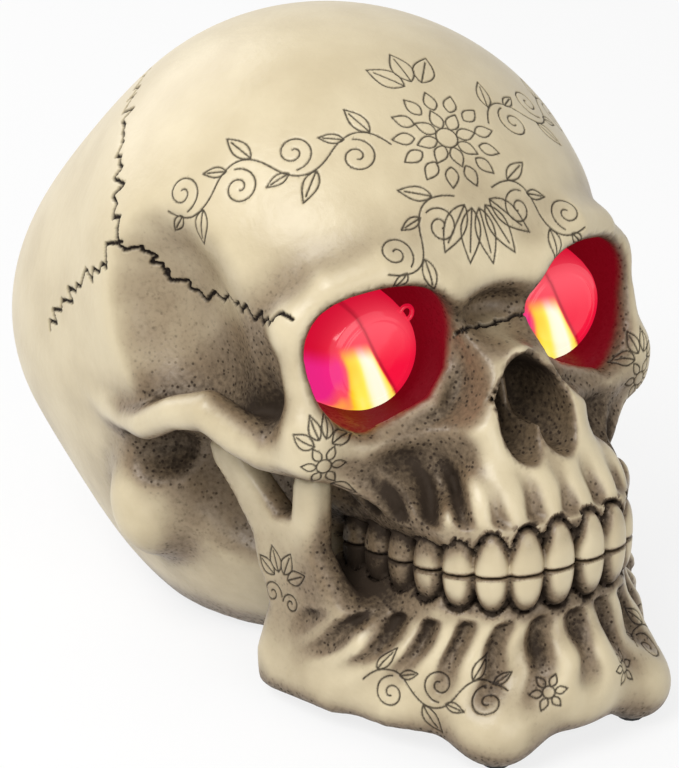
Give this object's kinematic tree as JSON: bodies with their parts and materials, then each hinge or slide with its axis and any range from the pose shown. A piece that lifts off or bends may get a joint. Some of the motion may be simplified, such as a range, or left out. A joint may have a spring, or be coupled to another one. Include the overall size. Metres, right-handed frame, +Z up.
{
  "type": "skull decoration",
  "caption": "Life-size cast skull ornament with clenched teeth and lit red lens eyes, run from cells behind a sliding door in its base.",
  "frame": {"origin": "on the table, below the middle of the skull's length and width", "axes": "+Z up, the face towards -Y, the skull's own left towards +X"},
  "size_m": [0.1476, 0.232, 0.1687],
  "materials": {
    "bone_resin": "semi-gloss ivory resin with a dark brown wash in the recesses",
    "red_lens": "clear red, glossy",
    "lamp": "clear, glossy",
    "black_plastic": "fine matt",
    "grey_plastic": "fine matt",
    "steel": "zinc plated",
    "nickel": "nickel plated",
    "cell_wrap": "plain printed-free wrap",
    "board": "solder mask",
    "resistor": "lacquer",
    "plug": "natural nylon",
    "cable_red": "satin",
    "cable_black": "satin",
    "pad_rubber": "matt"
  },
  "bodies": {
    "skull": {"cranium_casting": "bone_resin", "mandible_casting": "bone_resin", "eye_lens_left": "red_lens", "eye_lens_right": "red_lens", "led_left": "lamp", "led_right": "lamp", "led_bush_left": "black_plastic", "led_bush_right": "black_plastic", "base_cover": "black_plastic", "switch_body": "black_plastic", "jaw_dowel_left": "steel", "jaw_dowel_right": "steel", "board_screw_1": "steel", "board_screw_2": "steel", "switch_screw_1": "steel", "switch_screw_2": "steel", "cover_screw_1": "steel", "cover_screw_2": "steel", "cover_screw_3": "steel", "cover_screw_4": "steel", "contact_plate_1": "nickel", "contact_plate_2": "nickel", "contact_spring_1": "nickel", "contact_spring_2": "nickel", "battery_1": "cell_wrap", "battery_2": "cell_wrap", "circuit_board": "board", "resistor_left": "resistor", "resistor_right": "resistor", "led_plug_left": "plug", "led_plug_right": "plug", "led_cable_left": "cable_red", "led_cable_right": "cable_black", "foot_pad_1": "pad_rubber", "foot_pad_2": "pad_rubber", "foot_pad_3": "pad_rubber", "foot_pad_4": "pad_rubber"},
    "battery_door": {"battery_door": "grey_plastic"},
    "switch_slider": {"switch_slider": "grey_plastic"}
  },
  "joints": [
    {"name": "battery_door_slide", "type": "slide", "parent": "skull", "child": "battery_door", "axis": [0, 1, 0], "range_m": [0, 0.006]},
    {"name": "switch_slide", "type": "slide", "parent": "skull", "child": "switch_slider", "axis": [0, 1, 0], "range_m": [0, 0.003]}
  ]
}
